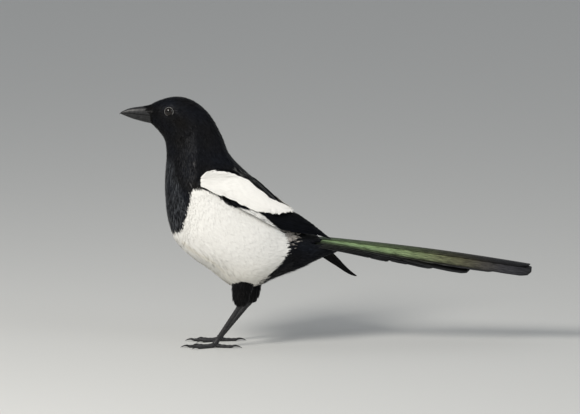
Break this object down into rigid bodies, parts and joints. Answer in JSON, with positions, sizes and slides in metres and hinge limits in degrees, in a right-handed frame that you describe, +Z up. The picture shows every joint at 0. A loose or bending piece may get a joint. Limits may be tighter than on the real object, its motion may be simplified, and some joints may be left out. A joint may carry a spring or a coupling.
{
  "type": "eurasian magpie",
  "caption": "Life-size standing Eurasian magpie, black and white with a long glossy green tail, in profile on its own two feet.",
  "frame": {"origin": "on the floor below the middle of the bird's overall length and width", "axes": "-X the way the bird faces, -Y its left side, +Z up; the soles rest on z = 0"},
  "size_m": [0.411, 0.0888, 0.2507],
  "materials": {
    "black_plumage": "soft black plumage with a faint gloss",
    "white_plumage": "soft white plumage",
    "wing_plumage": "smooth blue-black flight feathers and white scapulars",
    "tail_plumage": "smooth dark feathers with a green to bronze and violet sheen",
    "horn": "smooth black horn",
    "leg_skin": "black scaly skin",
    "eye": "wet dark brown eye"
  },
  "bodies": {
    "root": {"head": "black_plumage", "neck": "black_plumage", "torso": "white_plumage", "tail": "tail_plumage", "wing_left": "wing_plumage", "wing_right": "wing_plumage", "bill_upper": "horn", "bill_lower": "horn", "eye_left": "eye", "eye_right": "eye", "thigh_left": "black_plumage", "thigh_right": "black_plumage", "tarsus_left": "leg_skin", "tarsus_right": "leg_skin", "foot_left": "leg_skin", "foot_right": "leg_skin", "claw_hind_left": "horn", "claw_hind_right": "horn", "claw_inner_left": "horn", "claw_inner_right": "horn", "claw_middle_left": "horn", "claw_middle_right": "horn", "claw_outer_left": "horn", "claw_outer_right": "horn"}
  },
  "joints": []
}
